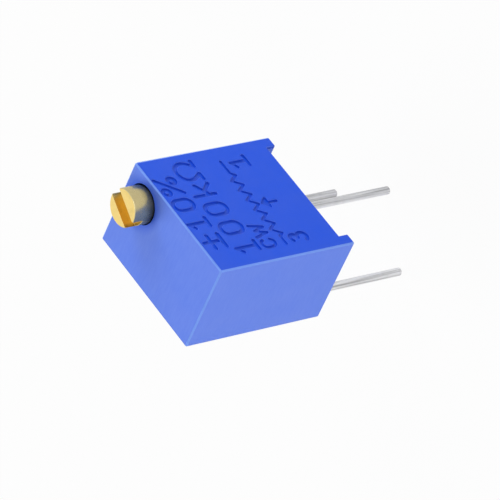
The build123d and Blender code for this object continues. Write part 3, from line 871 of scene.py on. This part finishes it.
class TRIMMER_OT_potting(Operator):
    """Pour the resin that closes the back, with its meniscus"""

    bl_idname = "trimmer.potting"
    bl_label = "Potting"

    def execute(self, context):
        look = context.scene.trimmer_case
        material, tree, shader, place = new_material("potting_resin", IOR=1.52)
        clouds = add_effect(tree, "Clouds", place, {"Cloud Size": 1200 * MICRON})
        colour = look.potting_colour[:]
        settled = mix_colours(
            tree,
            "Settled filler",
            clouds.outputs["Clouds"],
            shade(colour, 0.75),
            shade(colour, 1.3),
        )
        tree.links.new(settled, shader.inputs["Base Color"])
        gloss = spread(tree, "Uneven gloss", clouds.outputs["Clouds"], 0.22, 0.32, 0.3, 0.7)
        tree.links.new(gloss, shader.inputs["Roughness"])
        add_bump(tree, shader, clouds.outputs["Clouds"], 8 * MICRON)

        low, high = bench_box("epoxy_seal")
        mesh = copy_of("epoxy_seal")
        join_flat_faces(mesh)
        on_back = {vert for vert in mesh.verts if vert.co.y > high.y - TOUCH}
        back = [edge for edge in mesh.edges if on_back.issuperset(edge.verts)]
        if len(back) != 4:
            raise RuntimeError(f"the potting's back has {len(back)} edges, not 4")
        bmesh.ops.subdivide_edges(mesh, edges=back, cuts=POTTING_CUTS, use_grid_fill=True)
        for vert in mesh.verts:
            if vert.co.y > high.y - TOUCH:
                to_wall = min(
                    vert.co.x - low.x, high.x - vert.co.x, vert.co.z - low.z, high.z - vert.co.z
                )
                fall = math.exp(-to_wall / (look.meniscus_reach * BENCH))
                vert.co.y += look.meniscus_height * BENCH * fall
        shade_mesh(mesh, angle=math.radians(40), flat=large_faces(mesh, least_area=0.15))
        piece = placed(mesh, "potting_fill", material, "case")
        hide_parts("epoxy_seal")
        return {"FINISHED"}


class TRIMMER_OT_screw(Operator):
    """Turn the adjusting screw, with its cut edges broken"""

    bl_idname = "trimmer.screw"
    bl_label = "Adjusting screw"

    def execute(self, context):
        look = context.scene.trimmer_screw
        low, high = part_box("adjusting_screw")
        case_top = bench_box("housing")[1].z
        brass = turned_brass(look, low, high, case_top / BENCH)
        mesh = copy_of("adjusting_screw")
        join_flat_faces(mesh)
        cut_edges = [
            edge
            for edge in mesh.edges
            if all(vert.co.z > case_top for vert in edge.verts)
            and edge.is_manifold
            and edge.calc_face_angle() > CUT_TURN
        ]
        if not cut_edges:
            raise RuntimeError("the screw has no cut edges over the case")
        soften(mesh, cut_edges, look.edge_break * BENCH, clamp=True)
        shade_mesh(mesh, angle=math.radians(50), flat=large_faces(mesh, least_area=0.5))
        piece = placed(mesh, "turned_screw", brass, "screw")
        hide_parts("adjusting_screw")
        return {"FINISHED"}


class TRIMMER_OT_seal_and_fork(Operator):
    """Dress the rubber ring and the retaining fork"""

    bl_idname = "trimmer.seal_and_fork"
    bl_label = "Seal ring and fork"

    def execute(self, context):
        look = context.scene.trimmer_screw
        rubber = moulded_plastic(
            "seal_rubber",
            look.rubber[:],
            roughness=0.7,
            grain_size=20 * MICRON,
            grain_depth=MICRON,
        )
        steel = drawn_metal(
            "fork_steel",
            look.steel[:],
            roughness=0.34,
            streak_width=20 * MICRON,
            depth=0.6 * MICRON,
            turn=ALONG_Y,
        )
        dressed("screw_seal_ring", rubber)
        dressed("screw_retainer", steel)
        return {"FINISHED"}


class TRIMMER_OT_rotor(Operator):
    """Dress the worm wheel and its wiper spring"""

    bl_idname = "trimmer.rotor"
    bl_label = "Rotor and wiper"

    def execute(self, context):
        look = context.scene.trimmer_inside
        plastic = moulded_plastic(
            "rotor_plastic",
            look.rotor[:],
            roughness=0.45,
            grain_size=40 * MICRON,
            grain_depth=MICRON,
        )
        spring = drawn_metal(
            "wiper_metal",
            look.spring[:],
            roughness=0.26,
            streak_width=10 * MICRON,
            depth=0.4 * MICRON,
        )
        dressed("rotor_gear", plastic)
        dressed("wiper_spring", spring)
        return {"FINISHED"}


class TRIMMER_OT_element(Operator):
    """Dress the ceramic plate and its printed films"""

    bl_idname = "trimmer.element"
    bl_label = "Resistance element"

    def execute(self, context):
        look = context.scene.trimmer_inside
        conductor = fired_ceramic(
            "conductor_film",
            look.conductor[:],
            roughness=0.42,
            grain_size=15 * MICRON,
            grain_depth=1.5 * MICRON,
            metallic=1.0,
        )
        alumina = fired_ceramic(
            "alumina",
            look.ceramic[:],
            roughness=0.6,
            grain_size=20 * MICRON,
            grain_depth=MICRON,
        )
        resistor = fired_ceramic(
            "resistor_film",
            look.resistor[:],
            roughness=0.36,
            grain_size=10 * MICRON,
            grain_depth=0.8 * MICRON,
        )
        dressed("element_substrate", alumina)
        dressed("resistance_track", resistor)
        for name in ("collector_track", "end_pad_1", "end_pad_3"):
            dressed(name, conductor)
        return {"FINISHED"}


class TRIMMER_OT_terminals(Operator):
    """Dress the wire terminals and their solder"""

    bl_idname = "trimmer.terminals"
    bl_label = "Terminals"

    def execute(self, context):
        look = context.scene.trimmer_terminals
        # The pins' strong dark lines are drawing lines and a painted reflection of dark
        # surroundings
        tin = drawn_metal(
            "tinned_wire",
            look.tin[:],
            look.roughness,
            look.streak_width,
            depth=0.15 * MICRON,
            contrast=look.contrast,
        )
        solder = drawn_metal(
            "solder",
            look.solder[:],
            roughness=0.3,
            streak_width=60 * MICRON,
            depth=MICRON,
        )
        for number in (1, 2, 3):
            dressed(f"terminal_pin_{number}", tin)
            dressed(f"solder_joint_{number}", solder)
        return {"FINISHED"}


def soft_box(name, target, direction, distance, size, power, mirrored=False):
    """A square lamp that looks at a point from a direction. Gloss shows only a mirrored one."""
    data = bpy.data.lights.new(name, "AREA")
    data.shape = "SQUARE"
    data.size = size
    data.energy = power
    lamp = bpy.data.objects.new(name, data)
    outward = Vector(direction).normalized()
    lamp.location = target + outward * distance
    lamp.rotation_mode = "QUATERNION"
    lamp.rotation_quaternion = outward.to_track_quat("Z", "Y")
    lamp.visible_glossy = mirrored
    bpy.context.scene.collection.objects.link(lamp)


def seen_rays(tree):
    """Two masks: 1 for rays from the camera, and 1 for rays off gloss or through glass."""
    path = add_node(tree, "ShaderNodeLightPath", "Kind of ray").outputs
    glass = path["Is Transmission Ray"]
    mirrored = maths(tree, "Gloss or glass", "MAXIMUM", path["Is Glossy Ray"], glass)
    return path["Is Camera Ray"], mirrored


def plain_background(tree, label, strength):
    """A white background of some strength."""
    values = {"Color": (1, 1, 1, 1), "Strength": strength}
    return add_node(tree, "ShaderNodeBackground", label, values).outputs[0]


class TRIMMER_OT_stage(Operator):
    """Set the floor, the surroundings, the lamps and the camera"""

    bl_idname = "trimmer.stage"
    bl_label = "Stage"

    def execute(self, context):
        look = context.scene.trimmer_stage
        self.lay_floor(look)
        self.light_surroundings(look)
        middle = (cad_box[0] + cad_box[1]) / 2
        soft_box(
            "top_lamp",
            middle,
            direction=(0.404, 0.499, 0.766),
            distance=0.25,
            size=0.16,
            power=look.top_power,
        )
        soft_box(
            "left_lamp",
            middle,
            direction=(-0.93, 0.1, 0.35),
            distance=0.2,
            size=0.12,
            power=look.left_power,
        )
        soft_box(
            "front_lamp",
            middle,
            direction=(-0.55, -0.82, 0.14),
            distance=0.2,
            size=0.14,
            power=look.front_power,
            mirrored=True,
        )
        soft_box(
            "right_lamp",
            middle,
            direction=(0.7, -0.63, 0.3),
            distance=0.2,
            size=0.1,
            power=look.right_power,
        )
        self.aim_camera(context, look)
        context.scene.view_settings.view_transform = "Standard"
        return {"FINISHED"}

    def lay_floor(self, look):
        """A pale floor under the pins' tips, clear from below so that it hides nothing there."""
        mesh = bmesh.new()
        bmesh.ops.create_grid(mesh, x_segments=4, y_segments=4, size=look.floor_size / 2)
        bmesh.ops.translate(mesh, verts=mesh.verts, vec=(0, 0, cad_box[0].z - FLOOR_GAP))
        data = bpy.data.meshes.new("floor")
        mesh.to_mesh(data)
        mesh.free()
        material = bpy.data.materials.new("floor_paper")
        material.use_nodes = True
        tree = material.node_tree
        tree.nodes.clear()
        paper = add_node(tree, "ShaderNodeBsdfDiffuse", "Paper", {"Color": (*look.floor, 1)})
        white = add_node(tree, "ShaderNodeEmission", "White background", {"Strength": 1.0})
        from_camera, mirrored = seen_rays(tree)
        seen = maths(tree, "Seen directly", "MULTIPLY", from_camera, 1 - look.shadow)
        reflected = maths(tree, "Seen in the part", "MULTIPLY", mirrored, look.mirrored)
        share = maths(tree, "Share of white", "MAXIMUM", seen, reflected)
        lit = add_node(tree, "ShaderNodeMixShader", "Paper and background")
        tree.links.new(share, lit.inputs["Fac"])
        tree.links.new(paper.outputs[0], lit.inputs[1])
        tree.links.new(white.outputs[0], lit.inputs[2])
        clear = add_node(tree, "ShaderNodeBsdfTransparent", "Clear from below")
        side = add_node(tree, "ShaderNodeNewGeometry", "Which side")
        both = add_node(tree, "ShaderNodeMixShader", "Above and below")
        tree.links.new(side.outputs["Backfacing"], both.inputs["Fac"])
        tree.links.new(lit.outputs[0], both.inputs[1])
        tree.links.new(clear.outputs[0], both.inputs[2])
        output = add_node(tree, "ShaderNodeOutputMaterial", "Output")
        tree.links.new(both.outputs[0], output.inputs["Surface"])
        data.materials.append(material)
        floor = bpy.data.objects.new("floor", data)
        bpy.context.scene.collection.objects.link(floor)

    def light_surroundings(self, look):
        """White for the camera and for reflections, and a softer white as light."""
        world = bpy.data.worlds.new("surroundings")
        world.use_nodes = True
        tree = world.node_tree
        tree.nodes.clear()
        mix = add_node(tree, "ShaderNodeMixShader", "Light and background")
        shown = maths(tree, "Shows the background", "MAXIMUM", *seen_rays(tree))
        tree.links.new(shown, mix.inputs["Fac"])
        tree.links.new(plain_background(tree, "Soft light", look.surround), mix.inputs[1])
        tree.links.new(plain_background(tree, "White background", 1.0), mix.inputs[2])
        output = add_node(tree, "ShaderNodeOutputWorld", "Output")
        tree.links.new(mix.outputs[0], output.inputs["Surface"])
        bpy.context.scene.world = world

    def aim_camera(self, context, look):
        """A long lens from above the marked face, rolled so that the pins point right."""
        data = bpy.data.cameras.new("camera")
        data.lens = look.lens * 1000
        data.sensor_width = 36
        data.clip_start = 0.01
        data.clip_end = 10
        camera = bpy.data.objects.new("camera", data)
        turn = Matrix((CAMERA_RIGHT, CAMERA_UP, CAMERA_BACK)).transposed()
        camera.matrix_world = Matrix.LocRotScale(
            Vector(CAMERA_PLACE), turn.to_quaternion(), None
        )
        bpy.context.scene.collection.objects.link(camera)
        context.scene.camera = camera


class TRIMMER_PT_dresser(Panel):
    """The trimmer's pieces and their looks"""

    bl_idname = "TRIMMER_PT_dresser"
    bl_label = "Trimmer"
    bl_space_type = "VIEW_3D"
    bl_region_type = "UI"
    bl_category = "Trimmer"

    def draw(self, context):
        layout = self.layout
        for name, title, kind in LOOKS:
            box = layout.box()
            box.label(text=title)
            look = getattr(context.scene, name)
            for key in kind.__annotations__:
                box.prop(look, key)
        for step in STEPS:
            layout.operator(step.bl_idname)


LOOKS = (
    ("trimmer_case", "Case", CaseLook),
    ("trimmer_screw", "Screw", ScrewLook),
    ("trimmer_inside", "Inside", InsideLook),
    ("trimmer_terminals", "Terminals", TerminalLook),
    ("trimmer_stage", "Stage", StageLook),
)
STEPS = (
    TRIMMER_OT_case,
    TRIMMER_OT_potting,
    TRIMMER_OT_screw,
    TRIMMER_OT_seal_and_fork,
    TRIMMER_OT_rotor,
    TRIMMER_OT_element,
    TRIMMER_OT_terminals,
    TRIMMER_OT_stage,
)
CLASSES = (CaseLook, ScrewLook, InsideLook, TerminalLook, StageLook, *STEPS, TRIMMER_PT_dresser)


def register():
    """Register the classes and hang their settings on the scene."""
    for item in CLASSES:
        bpy.utils.register_class(item)
    for name, title, kind in LOOKS:
        setattr(bpy.types.Scene, name, PointerProperty(type=kind))


def unregister():
    """Undo register."""
    for name, title, kind in LOOKS:
        delattr(bpy.types.Scene, name)
    for item in reversed(CLASSES):
        bpy.utils.unregister_class(item)


def main():
    """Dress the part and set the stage."""
    register()
    build_effects()
    bpy.ops.trimmer.case()
    bpy.ops.trimmer.potting()
    bpy.ops.trimmer.screw()
    bpy.ops.trimmer.seal_and_fork()
    bpy.ops.trimmer.rotor()
    bpy.ops.trimmer.element()
    bpy.ops.trimmer.terminals()
    bpy.ops.trimmer.stage()


if __name__ == "__main__":
    main()
